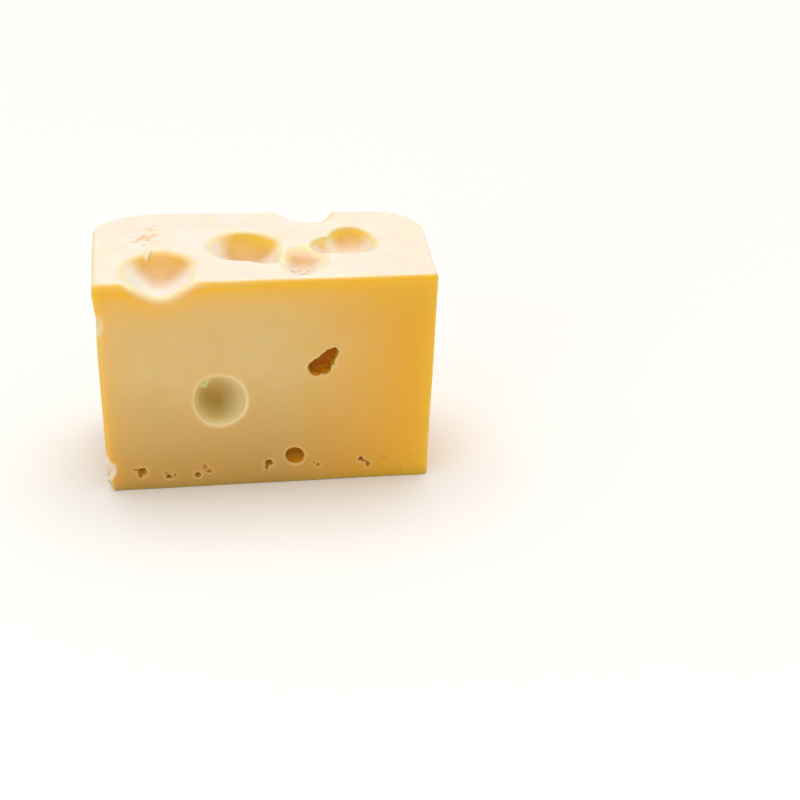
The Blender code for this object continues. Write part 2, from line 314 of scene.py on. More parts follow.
@dataclass(frozen=True)
class Eye(Patch):
    """A bubble that a face cuts through, which leaves a round bowl. Sizes are in millimetres."""

    proud: float  # how far the bubble's middle stands outside the face; negative leaves an overhanging rim
    rims: tuple[float, float, float, float]  # radii of the rim: near or low, far or high, left, right
    turn: float = 0.0  # degrees that the bowl is turned in its face
    drift: float = 0.7  # how far its outline strays from an ellipse
    torn: bool = False  # a small rough hole, whose outline strays over a short distance
    # pale: where a top bowl is painted with light, in half lengths along it
    pale: tuple[float, float] = (0.1, 2.0)  # pale nearer than the first and past the second, in half lengths

    def rim_at(self, at: Samples) -> Numbers:
        """Radius of the rim at each sample: the mean of the four sides' radii, weighted by how it lies.

        Args:
            at: The samples.

        Returns:
            The radius.
        """
        across, upward, _ = self.local(at)
        u, v = across / self.half_width, upward / self.half_length
        near, far, left, right = self.rims
        sides = np.where(v < 0, near, far) * v ** 2 + np.where(u < 0, left, right) * u ** 2
        return (sides + 0.02 * far) / (u ** 2 + v ** 2 + 0.02)

    def distance(self, at: Samples) -> Numbers:
        """Field of the bubble, negative inside it.

        The samples are put in the bubble's own axes and scaled to a unit ball. The distance is
        k0 (k0 - 1) / k1, where k0 is the scaled radius and k1 the length of its gradient.

        Args:
            at: The samples.

        Returns:
            The field.
        """
        tall = self.depth + self.proud
        spread = 1 / math.sqrt(1 - (self.proud / tall) ** 2) if abs(self.proud) < tall else 1.0
        swells = TEAR_DRIFT if self.torn else BOWL_DRIFT
        moved = tuple(s + self.drift * swell.height(at) for s, swell in zip(at, swells))
        right, upward, out = self.local(moved)
        c, s = math.cos(math.radians(self.turn)), math.sin(math.radians(self.turn))
        own = (c * right + s * upward, c * upward - s * right, out - self.proud)
        semi = (self.half_width * spread, self.half_length * spread, tall)
        k0 = np.sqrt(sum((o / a) ** 2 for o, a in zip(own, semi)))
        k1 = np.sqrt(sum((o / a ** 2) ** 2 for o, a in zip(own, semi)))
        return k0 * (k0 - 1) / np.maximum(k1, 1e-6)

    def reach(self) -> tuple[Numbers, Numbers]:
        """Lowest and highest corner of the space that the bowl can change."""
        point, axes = BLOCK.place_on(self.face, self.along, self.up)
        widest = 1.2 * max(self.half_width, self.half_length) + 2 * self.drift + 2 * max(self.rims)
        inward = self.depth + 2 * self.drift + 2 * max(self.rims)
        span = np.abs(axes.T) @ np.array([widest, widest, inward])
        return point - span, point + span


def drifted(at: Samples, drift: float) -> tuple[Numbers, Numbers]:
    """X and Z of the samples, moved about by a short swell that roughens what is torn."""
    return at[0] + drift * TEAR_DRIFT[0].height(at), at[2] + drift * TEAR_DRIFT[2].height(at)


def beside(px: Numbers, pz: Numbers, start: tuple[float, float], end: tuple[float, float]) -> Samples:
    """How samples of the front face lie beside a straight line between two of its points.

    Args:
        px: X of the samples, in millimetres.
        pz: Z of the samples.
        start: X and Z of the line's start.
        end: X and Z of its end.

    Returns:
        How far each lies from the line's nearest point in X and in Z, and that point's share of the length.
    """
    ex, ez = end[0] - start[0], end[1] - start[1]
    wx, wz = px - start[0], pz - start[1]
    share = clamped((wx * ex + wz * ez) / (ex * ex + ez * ez))
    return wx - share * ex, wz - share * ez, share


@dataclass(frozen=True)
class Pocket:
    """A torn slit on the front face, in millimetres: its outline narrows and rises as it runs in."""

    outline: tuple[tuple[float, float], ...]  # X and Z of the corners, in order round the mouth
    depth: float = 6.0
    narrowing: float = 0.06  # how much closer each side comes for each millimetre inwards
    rise: float = 0.12  # how far the pocket climbs for each millimetre inwards
    floor_round: float = 1.5
    rim: float = 0.25
    drift: float = 0.28

    def distance(self, at: Samples) -> Numbers:
        """Field of the pocket, negative inside it.

        The distance to a closed outline is the least distance to its edges, negative where the winding test
        finds the sample inside. The outline is compared with samples that are moved down as they lie deeper.

        Args:
            at: The samples.

        Returns:
            The field.
        """
        inward = at[1] - BLOCK.front
        px, pz = drifted(at, self.drift)
        px, pz = np.broadcast_arrays(px, pz - self.rise * np.maximum(inward, 0.0))
        least = np.full(px.shape, np.inf)
        inside = np.zeros(px.shape, bool)
        for (ax, az), (bx, bz) in zip(self.outline, self.outline[1:] + self.outline[:1]):
            off_x, off_z, _ = beside(px, pz, (ax, az), (bx, bz))
            least = np.minimum(least, np.hypot(off_x, off_z))
            crosses = (az > pz) != (bz > pz)
            inside ^= crosses & (px < ax + (bx - ax) * (pz - az) / (bz - az if bz != az else 1e-9))
        mouth = np.where(inside, -least, least) + self.narrowing * np.maximum(inward, 0.0)
        return round_join(mouth, inward - self.depth, self.floor_round)

    def reach(self) -> tuple[Numbers, Numbers]:
        """Lowest and highest corner of the space that the pocket can change."""
        xs, zs = zip(*self.outline)
        low = np.array([min(xs), BLOCK.front, min(zs)]) - SPARE
        highest = max(zs) + self.rise * self.depth
        return low, np.array([max(xs), BLOCK.front + self.depth, highest]) + SPARE


@dataclass(frozen=True)
class Crack:
    """A hairline that runs on the front face between two points, in millimetres."""

    start: tuple[float, float]
    end: tuple[float, float]
    half_width: float
    depth: float
    rim: float = 0.25
    drift: float = 0.5
    taper: float = 0.7  # how much thinner it is at its end

    def distance(self, at: Samples) -> Numbers:
        """Field of the crack: distance to its line, flattened by its depth, less its half width.

        Args:
            at: The samples.

        Returns:
            The field.
        """
        off_x, off_z, share = beside(*drifted(at, self.drift), self.start, self.end)
        inward = (at[1] - BLOCK.front) * self.half_width / self.depth
        thin = self.half_width * (1 - self.taper * share)
        return np.sqrt(off_x ** 2 + off_z ** 2 + inward ** 2) - thin

    def reach(self) -> tuple[Numbers, Numbers]:
        """Lowest and highest corner of the space that the crack can change."""
        xs, zs = zip(self.start, self.end)
        low = np.array([min(xs), BLOCK.front, min(zs)]) - SPARE
        return low, np.array([max(xs), BLOCK.front + self.depth - 1, max(zs)]) + SPARE


@dataclass(frozen=True)
class Tear(Patch):
    """A shallow torn patch of a face, rough over a short distance, in millimetres."""

    grain: float
    seed: int

    def carved(self, at: Samples) -> Numbers:
        """How deep the patch is torn at each sample: a dome that fades to its rim, broken by a sharp swell.

        Args:
            at: The samples.

        Returns:
            Depth in millimetres.
        """
        right, upward, out = self.local(at)
        radius = np.sqrt((right / self.half_width) ** 2 + (upward / self.half_length) ** 2)
        fade = clamped(1.25 - radius + 0.45 * Swell(5.0, self.seed).height(at))
        broken = clamped(0.5 + 0.9 * Swell(self.grain, self.seed + 1).height(at))
        near = clamped(1 + out / 4)
        return self.depth * fade * broken * near


# Bowls of the top, with rims that have softened in the warmth: the one that runs out through the front, the
# middle one and its lobe, the shallow one, the right one and its lobe, and the notch in the back edge.
TOP_BOWLS = (
    Eye(Face.TOP, -42.4, 17.0, 15.2, 21.2, 8.6, 7.0, (5.0, 1.0, 4.5, 2.2), -3.0, 0.6),
    Eye(Face.TOP, -6.6, 39.4, 14.2, 16.8, 9.0, 5.0, (1.2, 1.4, 5.0, 3.0), 8.0, 0.5),
    Eye(Face.TOP, -0.6, 29.9, 7.2, 11.8, 7.4, 6.0, (0.9, 3.0, 3.0, 3.0), 22.0, 0.4),
    Eye(Face.TOP, 16.6, 19.4, 9.0, 15.6, 4.9, 5.0, (0.6, 6.0, 2.6, 3.0), -8.0, 0.5, pale=(0.6, 0.6)),
    Eye(Face.TOP, 38.0, 42.9, 9.6, 16.0, 8.2, 4.0, (1.2, 1.0, 1.4, 2.2), -4.0, 0.4, pale=(0.74, 2.0)),
    Eye(Face.TOP, 34.2, 37.9, 14.4, 11.0, 7.9, 4.0, (1.0, 0.3, 0.9, 4.0), -3.0, 0.3, pale=(0.78, 2.0)),
    Eye(Face.TOP, 22.3, 79.5, 10.4, 15.8, 8.2, 4.0, (1.2, 1.2, 6.0, 0.6), 10.0, 0.4),
)

# Eyes of the upright faces. The knife went through these, so their rims are crisp.
CUT_RIM = (0.7, 0.5, 0.6, 0.6)
SIDE_EYES = (
    Eye(Face.FRONT, -20.4, 39.3, 10.3, 11.0, 9.4, -0.6, CUT_RIM, turn=12.0, drift=0.35),
    Eye(Face.LEFT, 3.4, 75.0, 5.1, 4.7, 3.2, 2.0, CUT_RIM, drift=0.4),
    Eye(Face.LEFT, 45.0, 41.0, 11.3, 10.4, 8.0, 1.5, CUT_RIM, drift=0.5),
    Eye(Face.RIGHT, 27.0, 54.0, 11.8, 10.8, 8.8, 1.2, CUT_RIM, drift=0.5),
    Eye(Face.RIGHT, 46.0, 27.0, 6.7, 6.1, 5.2, 0.6, CUT_RIM, drift=0.4),
    Eye(Face.BACK, -27.0, 50.0, 12.4, 11.2, 9.2, 1.4, CUT_RIM, drift=0.5),
    Eye(Face.BACK, 35.0, 34.0, 8.5, 7.9, 6.4, 1.0, CUT_RIM, drift=0.4),
)
TORN_RIM = (0.2, 0.2, 0.2, 0.2)
CHIP_RIM = (0.5, 0.5, 0.5, 0.5)

# Chips off the foot of the left edge, where the paste shows pale and fresh, and the worn corner under them.
CHIPS = (
    Eye(Face.LEFT, 0.2, 9.6, 4.4, 4.0, 3.4, 0.8, CHIP_RIM, drift=0.2, torn=True),
    Eye(Face.LEFT, 1.4, 12.8, 2.4, 3.4, 1.5, 0.4, CHIP_RIM, drift=0.2, torn=True),
)
WORN_CORNER = Eye(Face.LEFT, 1.0, 1.0, 7.0, 6.4, 1.9, 1.6, (1.5, 1.5, 1.5, 1.5), drift=0.5)

# Small rough holes of the row above the base: place along the face, height, half width, half height, depth.
SMALL_HOLES = {
    Face.FRONT: (
        (-53.8, 8.2, 1.9, 1.8, 3.0), (-55.9, 9.3, 1.2, 0.6, 1.2), (-54.5, 6.4, 0.9, 1.2, 1.8),
        (-42.8, 5.2, 1.2, 1.0, 2.4), (-43.6, 7.0, 1.3, 0.8, 1.2), (-40.6, 6.0, 0.8, 0.7, 1.2),
        (-27.8, 9.0, 1.1, 1.4, 1.3), (-26.2, 6.9, 1.0, 0.8, 1.8), (-18.5, 2.7, 0.9, 0.4, 0.8),
        (-1.0, 9.2, 1.7, 1.6, 2.8), (-2.1, 7.2, 0.8, 1.2, 1.8), (-2.3, 4.9, 0.9, 0.5, 1.0),
        (17.9, 8.4, 0.6, 0.6, 1.2), (19.4, 7.1, 0.9, 0.9, 1.8), (37.6, 9.0, 1.2, 1.1, 2.2),
        (39.1, 7.7, 1.1, 0.7, 1.4), (40.7, 6.4, 1.1, 1.2, 2.0), (47.4, 9.3, 1.6, 1.1, 0.45),
        (44.3, 4.7, 0.5, 0.5, 0.8), (54.5, 4.3, 0.6, 0.6, 0.9),
    ),
    Face.LEFT: ((17.0, 8.4, 1.9, 1.7, 2.6), (33.0, 6.4, 1.3, 1.4, 2.0), (52.0, 9.6, 2.6, 2.2, 3.6)),
    Face.RIGHT: ((14.0, 7.6, 1.6, 1.5, 2.6), (33.0, 9.4, 2.4, 2.2, 3.4), (47.0, 5.8, 1.2, 1.3, 2.0)),
    Face.BACK: (
        (-40.0, 7.4, 1.7, 1.6, 2.6), (-20.0, 9.8, 2.9, 2.5, 3.8), (-2.0, 6.0, 1.3, 1.3, 2.2),
        (19.0, 8.2, 1.9, 1.7, 2.8), (40.0, 6.6, 1.4, 1.4, 2.2),
    ),
}
OVERHANG = 0.12  # how far below the face a small hole's middle lies, as a share of its depth
TORN_HOLES = (
    Eye(Face.FRONT, -30.8, 5.4, 1.3, 1.3, 2.6, -0.2, TORN_RIM, drift=0.1),
    Eye(Face.FRONT, 9.9, 12.1, 3.9, 3.8, 4.6, -0.5, TORN_RIM, turn=-14.0, drift=0.25),
    *(
        Eye(face, *row, -OVERHANG * row[-1], TORN_RIM, drift=0.22, torn=True)
        for face, rows in SMALL_HOLES.items() for row in rows
    ),
)

# Pits in the floor of the shallow bowl, as the fields of an eye up to how proud it stands.
FLOOR_PITS = tuple(
    Eye(Face.TOP, *row, TORN_RIM, drift=0.12, torn=True)
    for row in (
        (11.9, 17.8, 0.7, 0.9, 6.0, -4.6), (14.9, 21.2, 0.5, 0.7, 6.0, -4.9),
        (16.8, 18.8, 0.6, 0.8, 6.2, -4.8), (18.6, 20.4, 0.6, 0.7, 6.0, -4.7),
    )
)

# The torn slit: a leaf with its tip at the upper right and a spur on its lower side, and its hairlines.
TORN_POCKET = Pocket(
    outline=(
        (15.7, 52.3), (17.3, 54.8), (20.8, 57.0), (23.2, 59.2), (25.0, 59.9), (27.8, 61.2), (28.9, 58.8),
        (28.1, 56.2), (26.8, 53.9), (28.0, 53.0), (26.0, 53.0), (25.6, 50.4), (24.2, 49.2), (20.6, 48.4),
        (17.5, 49.0), (16.7, 50.8),
    )
)
CRACKS = (
    Crack((28.4, 60.9), (33.8, 62.4), 0.36, 0.8),
    Crack((15.9, 48.6), (12.4, 46.6), 0.40, 0.9),
    Crack((12.4, 46.6), (1.0, 44.4), 0.16, 0.25),
)
TEARS = (
    Tear(Face.TOP, -48.2, 50.6, 5.4, 5.0, 0.6, 3.0, 61),
    Tear(Face.TOP, -44.6, 61.6, 3.2, 2.4, 0.4, 2.6, 67),
)

TORN_MARKS = (*TORN_HOLES, *FLOOR_PITS, TORN_POCKET)
HOLLOWS = (*TOP_BOWLS, *SIDE_EYES, *CHIPS, WORN_CORNER, *TORN_MARKS, *CRACKS)


@dataclass(frozen=True)
class Shard:
    """A thin three-cornered sliver of paste that hangs on by its root, in millimetres."""

    corners: tuple[tuple[float, float, float], ...]
    paleness: float  # how much paler than the paste round it
    glow: float  # how golden the light that comes through it is
    half_thickness: float
    root: float = 0.4  # radius of the fillet that joins it to the cheese

    def distance(self, at: Samples) -> Numbers:
        """Field of the sliver: the distance to its flat triangle less half its thickness.

        Over the triangle that is the distance to its plane, and elsewhere the least distance to its edges.

        Args:
            at: The samples.

        Returns:
            The field.
        """
        points = np.stack(np.broadcast_arrays(*at), axis=-1)
        a, b, c = (np.array(corner) for corner in self.corners)
        normal = np.cross(b - a, c - a)
        normal = normal / np.linalg.norm(normal)
        over = np.ones(points.shape[:-1], bool)
        least = np.full(points.shape[:-1], np.inf)
        for start, end in ((a, b), (b, c), (c, a)):
            edge = end - start
            away = points - start
            over &= away @ np.cross(normal, edge) >= 0
            share = clamped(away @ edge / (edge @ edge))
            least = np.minimum(least, np.linalg.norm(away - share[..., None] * edge, axis=-1))
        flat = np.abs((points - a) @ normal)
        return np.where(over, flat, least) - self.half_thickness

    def reach(self) -> tuple[Numbers, Numbers]:
        """Lowest and highest corner of the space that the sliver can change."""
        corners = np.array(self.corners)
        return corners.min(axis=0) - 2.0, corners.max(axis=0) + 2.0


# A tooth that hangs down the far wall of the notched bowl, a flap in the eye and a spike on the chip.
SHARDS = (
    Shard(((-49.4, -3.4, 92.2), (-45.9, -3.4, 92.2), (-47.5, -8.6, 89.6)), 0.4, 0.25, 0.3),
    Shard(((-28.9, -38.2, 45.6), (-23.6, -38.4, 49.4), (-25.9, -35.6, 43.6)), 0.0, 0.45, 0.3),
    Shard(((-66.9, -39.2, 6.4), (-66.4, -38.6, 4.4), (-69.5, -39.6, 5.6)), 1.0, 0.0, 0.35, root=0.3),
)


@dataclass(frozen=True)
class GridLines:
    """Where the grid's lines run along one axis, in millimetres: close together in the fine stretches."""

    start: float
    end: float
    fine: tuple[tuple[float, float], ...]
    coarse_step: float
    fine_step: float

    def lines(self) -> Numbers:
        """The lines' places: each stretch is divided evenly into steps no longer than its own."""
        stops = sorted({self.start, self.end, *(edge for stretch in self.fine for edge in stretch)})
        places = [np.array([self.start])]
        for low, high in zip(stops, stops[1:]):
            middle = (low + high) / 2
            is_fine = any(a < middle < b for a, b in self.fine)
            step = self.fine_step if is_fine else self.coarse_step
            places.append(np.linspace(low, high, math.ceil((high - low) / step) + 1)[1:])
        return np.concatenate(places)


@dataclass
class Solid:
    """Which places of the grid hold paste, for asking about any point at all."""

    x: Numbers
    y: Numbers
    z: Numbers
    filled: Flags

    def __post_init__(self) -> None:
        """Works out, for every quarter of a millimetre along each axis, which grid line is nearest."""
        self.finder = []
        for lines in (self.x, self.y, self.z):
            ticks = np.arange(lines[0], lines[-1] + 0.25, 0.25)
            middles = (lines[1:] + lines[:-1]) / 2
            self.finder.append((lines[0], np.searchsorted(middles, ticks)))

    def holds(self, points: Numbers) -> Flags:
        """Whether each point lies in the paste."""
        nodes = []
        for axis, (start, nearest) in enumerate(self.finder):
            tick = ((points[:, axis] - start) * 4 + 0.5).astype(np.int64)
            nodes.append(nearest[np.clip(tick, 0, len(nearest) - 1)])
        return self.filled[tuple(nodes)]


CORNERS = tuple(np.ndindex(2, 2, 2))


def touches() -> list[tuple[tuple[int, ...], tuple[int, ...]]]:
    """The ways for two sheets of the skin to touch in a grid cell.

    They share an edge where the corners of one of the cell's squares alternate, and a point where just two
    opposite corners hold paste, or air. A corner's number is its place in CORNERS.

    Returns:
        For each way, the corners that hold paste and those that hold air.
    """
    pairs = [((0, 3), (1, 2)), ((0, 5), (1, 4)), ((0, 6), (2, 4))]
    for ends in ((0, 7), (1, 6), (2, 5), (3, 4)):
        pairs.append((ends, tuple(n for n in range(8) if n not in ends)))
    return [way for one, other in pairs for way in ((one, other), (other, one))]


@dataclass
class Skin:
    """Turns a field into a closed mesh with one point in each grid cell that the surface crosses."""

    x: Numbers
    y: Numbers
    z: Numbers
    barely: float = 0.02  # millimetres that a filled sample lies inside

    def points_and_quads(self, values: Numbers) -> tuple[Numbers, Indices]:
        """Works out the mesh.

        A cell's point is the mean of the places where the field, taken as straight along each of its twelve
        edges, is zero. Each grid edge that the surface crosses gives one quad, which joins the points of the
        four cells round that edge.

        Args:
            values: The field on the grid.

        Returns:
            The points in millimetres, and the quads as indices of points.
        """
        values = self.parted(values)
        inside = values < 0
        cells = self.crossed(inside)
        number = np.full(tuple(n - 1 for n in values.shape), -1, np.int64)
        number[tuple(cells.T)] = np.arange(len(cells))
        total = np.zeros((len(cells), 3))
        crossings = np.zeros((len(cells), 1))
        for a in CORNERS:
            for axis in (0, 1, 2):
                if a[axis]:
                    continue
                b = tuple(c + (n == axis) for n, c in enumerate(a))
                at_a, at_b = cells + a, cells + b
                value_a, value_b = values[tuple(at_a.T)], values[tuple(at_b.T)]
                crossed = (value_a < 0) != (value_b < 0)
                share = np.where(crossed, value_a / np.where(crossed, value_a - value_b, 1.0), 0.0)[:, None]
                place_a, place_b = self.place(at_a), self.place(at_b)
                total += np.where(crossed[:, None], place_a + share * (place_b - place_a), 0.0)
                crossings += crossed[:, None]
        return total / crossings, self.quads(inside, number)

    @staticmethod
    def crossed(inside: Flags) -> Indices:
        """The first nodes of the cells whose corners don't all lie on one side."""
        shape = tuple(n - 1 for n in inside.shape)
        count = sum(inside[tuple(slice(c, c + n) for c, n in zip(a, shape))].astype(np.int8) for a in CORNERS)
        return np.argwhere((count > 0) & (count < len(CORNERS)))

    def parted(self, values: Numbers) -> Numbers:
        """The field with a little more paste where two sheets of the skin would touch.

        The thinnest air sample there becomes paste, until no such place is left.

        Args:
            values: The field on the grid.

        Returns:
            The changed field.
        """
        values = values.copy()
        while True:
            nodes = self.crossed(values < 0)[:, None] + np.array(CORNERS)
            depth = values[tuple(np.moveaxis(nodes, 2, 0))]
            change = []
            for paste, air in touches():
                found = np.nonzero((depth[:, paste] < 0).all(axis=1) & (depth[:, air] >= 0).all(axis=1))[0]
                thinnest = np.array(air)[depth[found][:, air].argmin(axis=1)]
                change.append(nodes[found, thinnest])
            filled = np.concatenate(change)
            if not len(filled):
                return values
            values[tuple(filled.T)] = -self.barely

    def place(self, nodes: Indices) -> Numbers:
        """Coordinates of grid nodes, given by their three indices."""
        return np.stack([self.x[nodes[:, 0]], self.y[nodes[:, 1]], self.z[nodes[:, 2]]], axis=1)

    @staticmethod
    def quads(inside: Flags, number: Indices) -> Indices:
        """The quad round each crossed grid edge, turned so that it faces out.

        Args:
            inside: Which grid nodes lie inside.
            number: The number of each cell's point, or -1.

        Returns:
            The quads.
        """
        found = []
        for axis in (0, 1, 2):
            low = np.moveaxis(inside, axis, 0)[:-1]
            high = np.moveaxis(inside, axis, 0)[1:]
            crossed = np.argwhere(low != high)
            edge = np.insert(crossed[:, 1:], axis, crossed[:, 0], axis=1)
            ring = []
            for u, v in ((-1, -1), (0, -1), (0, 0), (-1, 0)):
                cell = edge.copy()
                cell[:, (axis + 1) % 3] += u
                cell[:, (axis + 2) % 3] += v
                ring.append(number[tuple(cell.T)])
            quad = np.stack(ring, axis=1)
            outward = low[tuple(crossed.T)]
            quad[~outward] = quad[~outward][:, ::-1]
            found.append(quad)
        return np.concatenate(found)


def samples_in(at: Samples, low: Numbers, high: Numbers) -> tuple[tuple, Samples]:
    """The samples that lie in a box.

    Args:
        at: The samples.
        low: The box's lowest corner.
        high: The box's highest corner.

    Returns:
        An index that picks those samples out of an array of all, and the samples themselves.
    """
    x, y, z = at
    if x.ndim == 3:
        spans = tuple(slice(*np.searchsorted(s.ravel(), ends)) for s, ends in zip(at, zip(low, high)))
        return spans, (x[spans[0]], y[:, spans[1]], z[:, :, spans[2]])
    inside = np.ones(x.shape, bool)
    for s, a, b in zip(at, low, high):
        inside &= (s > a) & (s < b)
    picked = np.nonzero(inside)[0]
    return (picked,), (x[picked], y[picked], z[picked])


@dataclass
class SkinMarks:
    """What the finish needs to know about the form, worked out at each point of the skin."""

    points: Numbers  # in millimetres
    normals: Numbers  # the skin's outward direction at each point
    solid: Solid
    light_from: tuple[float, float, float] = (0.5, 0.6, 0.6)  # towards the brightest part of the surround
    light_fades: float = 13.0  # millimetres of paste that leave 37% of the light
    light_rays: int = 40
    light_reach: float = 40.0
    light_step: float = 2.0
    full_light: float = 0.34  # the share of the surround's light that makes an edge wholly golden

    def __post_init__(self) -> None:
        """Works out how far each point lies below the uncut block, in millimetres."""
        self.hollow = np.maximum(-BLOCK.distance(self.points.T), 0.0)

    def near(self, feature: Eye | Pocket | Crack | Shard) -> tuple[Indices, Samples]:
        """The points within a feature's reach: their numbers and places."""
        (numbers,), part = samples_in(self.points.T, *feature.reach())
        return numbers, part

    def detail(self) -> dict[str, Numbers]:
        """Finds the small features in reach of each point.

        Returns:
            How "torn" each point is, how much it lies on the painted highlight of a hole's "rim", how
            "fresh" its break is, and how golden a "thin" sliver glows there.
        """
        marks = {name: np.zeros(len(self.points)) for name in ("torn", "rim", "fresh", "thin")}

        def raise_to(name: str, near: Indices, share: Numbers) -> None:
            """Lifts a mark to this share, where it isn't higher already."""
            marks[name][near] = np.maximum(marks[name][near], clamped(share))

        for hole in (*TORN_MARKS, *SIDE_EYES, *CRACKS, *CHIPS):
            near, part = self.near(hole)
            away = hole.distance(part)
            below = self.hollow[near]
            if hole in CHIPS:
                raise_to("fresh", near, 0.8 * (1.2 - away / 1.2))
            elif hole in SIDE_EYES:
                # a painted highlight round the eye's rim, stronger towards its lower right
                right, upward, _ = hole.local(part)
                low_right = (right / hole.half_width - upward / hole.half_length) / math.sqrt(2)
                cut = (0.52 + 0.2 * low_right) * clamped(1.7 - below / 1.3)
                raise_to("rim", near, cut * np.exp(-((away - 0.6) / 0.95) ** 2))
            elif hole in CRACKS:
                # a faint painted highlight along the crack
                raise_to("rim", near, 0.2 * np.exp(-(away / 0.3) ** 2))
            else:
                # a painted highlight round the hole's rim, and the hole's torn paste
                cut = 0.25 * clamped((hole.depth - 0.8) / 1.4) * clamped(1.4 - below / 0.4)
                raise_to("rim", near, cut * np.exp(-((away - 0.4) / 0.55) ** 2))
                roughness = 0.7 if hole in FLOOR_PITS else 1.0
                raise_to("torn", near, roughness * clamped(1 - away / 0.4) * clamped(below / 0.5))
        for tear in TEARS:
            raise_to("torn", np.arange(len(self.points)), 0.7 * tear.carved(self.points.T) / tear.depth)
        for shard in SHARDS:
            near, part = self.near(shard)
            on_it = clamped(1.3 - shard.distance(part) / 0.3)
            raise_to("fresh", near, shard.paleness * on_it)
            raise_to("thin", near, shard.glow * on_it)
        return marks

    def light_through(self) -> Numbers:
        """The share of the surround's light that reaches each point through the paste behind it, from 0 to 1.

        Rays are spread by the golden angle, from a little below the horizon upwards. Each one that sets off
        into the paste is followed, the paste along it is added up, and the light falls off with the
        exponential of that. Rays towards the brightest part of the surround count for more.

        Returns:
            The share.
        """
        bright = np.array(self.light_from) / np.linalg.norm(self.light_from)
        total = np.zeros(len(self.points))
        whole = 0.0
        for ray in range(self.light_rays):
            rise = -0.2 + 1.2 * (ray + 0.5) / self.light_rays
            around = ray * math.pi * (3 - math.sqrt(5))
            flat = math.sqrt(1 - rise ** 2)
            heading = np.array([flat * math.cos(around), flat * math.sin(around), rise])
            weight = 0.25 + max(0.0, float(heading @ bright)) ** 2
            whole += weight
            enters = np.nonzero(self.normals @ heading < -0.03)[0]
            paste = np.zeros(len(enters))
            for step in np.arange(self.light_step / 2, self.light_reach, self.light_step):
                paste += self.light_step * self.solid.holds(self.points[enters] + step * heading)
            total[enters] += weight * np.exp(-paste / self.light_fades)
        return total / whole

    def upper(self) -> Numbers:
        """How much each point shares the paleness of the top, from 0 to 1.

        Paleness follows the skin's tilt: it is painted light, as a broad soft light from overhead would leave
        the top. By the front edge the painted light fails sooner, except on the soft lip of the bowl that
        opens through it, which takes a painted highlight.

        Returns:
            The share.
        """
        upward = self.normals[:, 2]
        broad = clamped((upward - 0.12) / 0.6)
        narrow = clamped((upward - 0.66) / 0.3)
        inward = clamped((self.points[:, 1] - BLOCK.front - 3.0) / 2.0)
        share = narrow + (broad - narrow) * inward
        near, part = self.near(TOP_BOWLS[0])
        lip = clamped(1.65 - TOP_BOWLS[0].distance(part) / 3.3) * (1 - inward[near])
        share[near] = np.maximum(share[near], lip)
        return share

    def near_lip_light(self) -> Numbers:
        """How near each point of the top's bowls lies to its bowl's pale near lip, from 0 to 1.

        A bowl with a soft left rim is pale there too. In the bowl that opens through the front edge the pale
        part runs up its left side. The paleness is painted light.

        Returns:
            The share.
        """
        x, y, _ = self.points.T
        share = np.zeros(len(self.points))
        for bowl in TOP_BOWLS[1:-1]:
            near, part = self.near(bowl)
            right, upward, _ = bowl.local(part)
            u, v = right / bowl.half_width, upward / bowl.half_length
            soft_left = clamped((bowl.rims[2] - 3.5) / 1.5)
            on_left = soft_left * np.clip(-0.45 - 1.6 * u, 0.0, 0.85)
            along = 1.6 * np.maximum(bowl.pale[0] - v, v - bowl.pale[1])
            within = clamped((1.3 - np.hypot(u, v)) / 0.25)
            share[near] = np.maximum(share[near], within * np.maximum(np.clip(along, 0.0, 0.75), on_left))
        to_front = 26.0 - (y - BLOCK.front) + 1.1 * np.maximum(0.0, -45.0 - x)
        return np.where(x < -24, clamped(to_front / 14.0), share)

    def golden(self, bowl: Numbers, upper: Numbers, near_lip_light: Numbers) -> Numbers:
        """How golden the light is that comes through the paste at each point, from 0 to 1.

        It glows by edges, on the far walls of the top's bowls and along the lip of the back edge's notch.

        Args:
            bowl: How much each point lies in one of those bowls.
            upper: How much painted light of the top it gets.
            near_lip_light: How much painted light it gets by its bowl's near lip.

        Returns:
            The share.
        """
        through = clamped(self.light_through() / self.full_light)
        aglow = bowl * clamped(0.22 - 2 * self.normals[:, 1])
        height = np.clip(self.points[:, 2] / 5.0, 0.3, 1.0)
        golden = clamped(through * (1 - 0.75 * upper) * height + aglow) * (1 - near_lip_light * bowl)
        near, part = self.near(TOP_BOWLS[-1])
        lip = np.clip(0.75 - TOP_BOWLS[-1].distance(part) / 3.0, 0.0, 0.6)
        golden[near] = np.maximum(golden[near], lip)
        return golden

    def bounced(self) -> Numbers:
        """How much light the walls of the side faces' eyes get from across, from 0 to 1.

        It is most at the top and on the right.

        Returns:
            The share.
        """
        share = np.zeros(len(self.points))
        for eye in SIDE_EYES:
            near, part = self.near(eye)
            inside = clamped(1 - eye.distance(part) / 0.6) * clamped(self.hollow[near] / 0.6)
            right, upward, _ = BLOCK.place_on(eye.face, eye.along, eye.up)[1]
            from_right, from_top = (np.maximum(-self.normals[near] @ side, 0.0) for side in (right, upward))
            share[near] = np.maximum(share[near], inside * (from_right * 0.55 + from_top * 0.7))
        return clamped(share)

